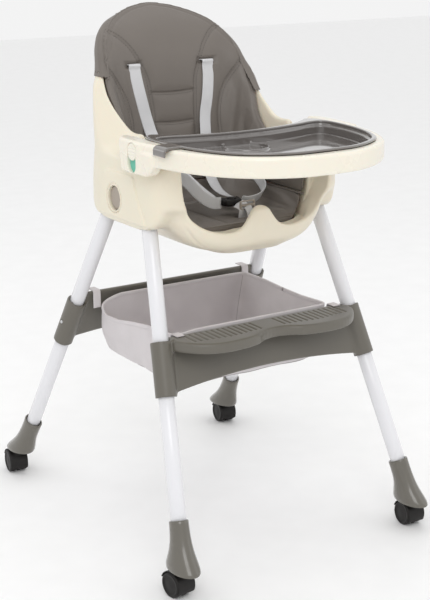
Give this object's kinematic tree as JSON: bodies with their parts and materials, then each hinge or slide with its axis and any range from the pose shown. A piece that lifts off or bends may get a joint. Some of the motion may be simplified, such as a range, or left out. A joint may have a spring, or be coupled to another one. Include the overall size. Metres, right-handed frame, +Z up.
{
  "type": "baby high chair",
  "caption": "Baby high chair: moulded bucket seat with padded liner and harness, sliding tray with lift-off insert, splayed tube legs, footrest bar, fabric basket and swivel casters.",
  "frame": {"origin": "on the floor, under the middle of the whole chair's box", "axes": "+Z up, the chair faces -Y, +X to the right of someone who looks at its front"},
  "size_m": [0.5694, 0.757, 0.968],
  "materials": {
    "shell_plastic": "satin",
    "upholstery": "soft grain",
    "tray_plastic": "gloss",
    "insert_plastic": "high gloss",
    "grey_plastic": "satin",
    "tube_paint": "gloss powder coat",
    "basket_fabric": "woven",
    "webbing": "woven webbing",
    "black_plastic": "satin",
    "button_plastic": "satin",
    "flag_plastic": "satin",
    "steel": "zinc plated"
  },
  "bodies": {
    "root": {"seat_shell": "shell_plastic", "back_cushion": "upholstery", "seat_cushion": "upholstery", "shoulder_strap_left": "webbing", "shoulder_strap_right": "webbing", "waist_strap_left": "webbing", "waist_strap_right": "webbing", "crotch_strap": "webbing", "harness_buckle": "black_plastic", "front_crossbar": "grey_plastic", "rear_crossbar": "grey_plastic", "storage_basket": "basket_fabric", "leg_release_spring_left": "steel", "leg_release_spring_right": "steel", "leg_lower_front_left": "tube_paint", "leg_upper_front_left": "tube_paint", "basket_clip_front_left": "webbing", "caster_housing_front_left": "grey_plastic", "leg_lower_front_right": "tube_paint", "leg_upper_front_right": "tube_paint", "basket_clip_front_right": "webbing", "caster_housing_front_right": "grey_plastic", "leg_lower_rear_left": "tube_paint", "leg_upper_rear_left": "tube_paint", "basket_clip_rear_left": "webbing", "caster_housing_rear_left": "grey_plastic", "leg_lower_rear_right": "tube_paint", "leg_upper_rear_right": "tube_paint", "basket_clip_rear_right": "webbing", "caster_housing_rear_right": "grey_plastic"},
    "tray": {"tray": "tray_plastic", "tray_lock_flag_left": "flag_plastic", "tray_lock_flag_right": "flag_plastic"},
    "insert_tray": {"insert_tray": "insert_plastic"},
    "buckle_button": {"buckle_release_button": "black_plastic"},
    "tray_lock_left": {"tray_lock_slider_left": "tray_plastic"},
    "leg_release_left": {"leg_release_button_left": "button_plastic"},
    "tray_lock_right": {"tray_lock_slider_right": "tray_plastic"},
    "leg_release_right": {"leg_release_button_right": "button_plastic"},
    "snap_button_front_left": {"leg_snap_button_front_left": "steel"},
    "snap_button_front_right": {"leg_snap_button_front_right": "steel"},
    "snap_button_rear_left": {"leg_snap_button_rear_left": "steel"},
    "snap_button_rear_right": {"leg_snap_button_rear_right": "steel"},
    "caster_front_left": {"caster_fork_front_left": "black_plastic", "caster_axle_front_left": "steel"},
    "wheel_front_left_a": {"caster_wheel_front_left_a": "black_plastic"},
    "wheel_front_left_b": {"caster_wheel_front_left_b": "black_plastic"},
    "caster_front_right": {"caster_fork_front_right": "black_plastic", "caster_axle_front_right": "steel"},
    "wheel_front_right_a": {"caster_wheel_front_right_a": "black_plastic"},
    "wheel_front_right_b": {"caster_wheel_front_right_b": "black_plastic"},
    "caster_rear_left": {"caster_fork_rear_left": "black_plastic", "caster_axle_rear_left": "steel"},
    "wheel_rear_left_a": {"caster_wheel_rear_left_a": "black_plastic"},
    "wheel_rear_left_b": {"caster_wheel_rear_left_b": "black_plastic"},
    "caster_rear_right": {"caster_fork_rear_right": "black_plastic", "caster_axle_rear_right": "steel"},
    "wheel_rear_right_a": {"caster_wheel_rear_right_a": "black_plastic"},
    "wheel_rear_right_b": {"caster_wheel_rear_right_b": "black_plastic"}
  },
  "joints": [
    {"name": "tray_slide", "type": "slide", "parent": "root", "child": "tray", "axis": [0, -1, 0], "range_m": [0, 0.12]},
    {"name": "insert_tray_lift", "type": "slide", "parent": "tray", "child": "insert_tray", "axis": [0, 0, 1], "range_m": [0, 0.06]},
    {"name": "buckle_button_press", "type": "slide", "parent": "root", "child": "buckle_button", "axis": [0, 0, -1], "range_m": [0, 0.002], "stiffness_N_per_m": 300},
    {"name": "tray_lock_left_slide", "type": "slide", "parent": "tray", "child": "tray_lock_left", "axis": [0, 0, -1], "range_m": [0, 0.018], "stiffness_N_per_m": 120},
    {"name": "leg_release_left_press", "type": "slide", "parent": "root", "child": "leg_release_left", "axis": [1, 0, 0], "range_m": [0, 0.005], "stiffness_N_per_m": 800, "deforming": ["leg_release_spring_left"]},
    {"name": "tray_lock_right_slide", "type": "slide", "parent": "tray", "child": "tray_lock_right", "axis": [0, 0, -1], "range_m": [0, 0.018], "stiffness_N_per_m": 120},
    {"name": "leg_release_right_press", "type": "slide", "parent": "root", "child": "leg_release_right", "axis": [-1, 0, 0], "range_m": [0, 0.005], "stiffness_N_per_m": 800, "deforming": ["leg_release_spring_right"]},
    {"name": "snap_button_front_left_press", "type": "slide", "parent": "root", "child": "snap_button_front_left", "axis": [0.0492, -0.9274, 0.3709], "range_m": [0, 0.004], "stiffness_N_per_m": 800},
    {"name": "snap_button_front_right_press", "type": "slide", "parent": "root", "child": "snap_button_front_right", "axis": [-0.0492, -0.9274, 0.3709], "range_m": [0, 0.004], "stiffness_N_per_m": 800},
    {"name": "snap_button_rear_left_press", "type": "slide", "parent": "root", "child": "snap_button_rear_left", "axis": [0.9936, 0.0499, -0.1017], "range_m": [0, 0.004], "stiffness_N_per_m": 800},
    {"name": "snap_button_rear_right_press", "type": "slide", "parent": "root", "child": "snap_button_rear_right", "axis": [-0.9936, 0.0499, -0.1017], "range_m": [0, 0.004], "stiffness_N_per_m": 800},
    {"name": "caster_front_left_swivel", "type": "hinge", "parent": "root", "child": "caster_front_left", "pos_m": [-0.26137, -0.30595, 0.05], "axis": [0, 0, 1], "continuous": true},
    {"name": "wheel_front_left_a_roll", "type": "hinge", "parent": "caster_front_left", "child": "wheel_front_left_a", "pos_m": [-0.26259, -0.29602, 0.02272], "axis": [0.9925, 0.1219, 0], "continuous": true},
    {"name": "wheel_front_left_b_roll", "type": "hinge", "parent": "caster_front_left", "child": "wheel_front_left_b", "pos_m": [-0.26259, -0.29602, 0.02272], "axis": [0.9925, 0.1219, 0], "continuous": true},
    {"name": "caster_front_right_swivel", "type": "hinge", "parent": "root", "child": "caster_front_right", "pos_m": [0.26137, -0.30595, 0.05], "axis": [0, 0, 1], "continuous": true},
    {"name": "wheel_front_right_a_roll", "type": "hinge", "parent": "caster_front_right", "child": "wheel_front_right_a", "pos_m": [0.26189, -0.29596, 0.02272], "axis": [0.9986, -0.0523, 0], "continuous": true},
    {"name": "wheel_front_right_b_roll", "type": "hinge", "parent": "caster_front_right", "child": "wheel_front_right_b", "pos_m": [0.26189, -0.29596, 0.02272], "axis": [0.9986, -0.0523, 0], "continuous": true},
    {"name": "caster_rear_left_swivel", "type": "hinge", "parent": "root", "child": "caster_rear_left", "pos_m": [-0.26365, 0.34355, 0.05], "axis": [0, 0, 1], "continuous": true},
    {"name": "wheel_rear_left_a_roll", "type": "hinge", "parent": "caster_rear_left", "child": "wheel_rear_left_a", "pos_m": [-0.26226, 0.35345, 0.02272], "axis": [0.9903, -0.1392, 0], "continuous": true},
    {"name": "wheel_rear_left_b_roll", "type": "hinge", "parent": "caster_rear_left", "child": "wheel_rear_left_b", "pos_m": [-0.26226, 0.35345, 0.02272], "axis": [0.9903, -0.1392, 0], "continuous": true},
    {"name": "caster_rear_right_swivel", "type": "hinge", "parent": "root", "child": "caster_rear_right", "pos_m": [0.26365, 0.34355, 0.05], "axis": [0, 0, 1], "continuous": true},
    {"name": "wheel_rear_right_a_roll", "type": "hinge", "parent": "caster_rear_right", "child": "wheel_rear_right_a", "pos_m": [0.2647, 0.3535, 0.02272], "axis": [0.9945, -0.1045, 0], "continuous": true},
    {"name": "wheel_rear_right_b_roll", "type": "hinge", "parent": "caster_rear_right", "child": "wheel_rear_right_b", "pos_m": [0.2647, 0.3535, 0.02272], "axis": [0.9945, -0.1045, 0], "continuous": true}
  ]
}
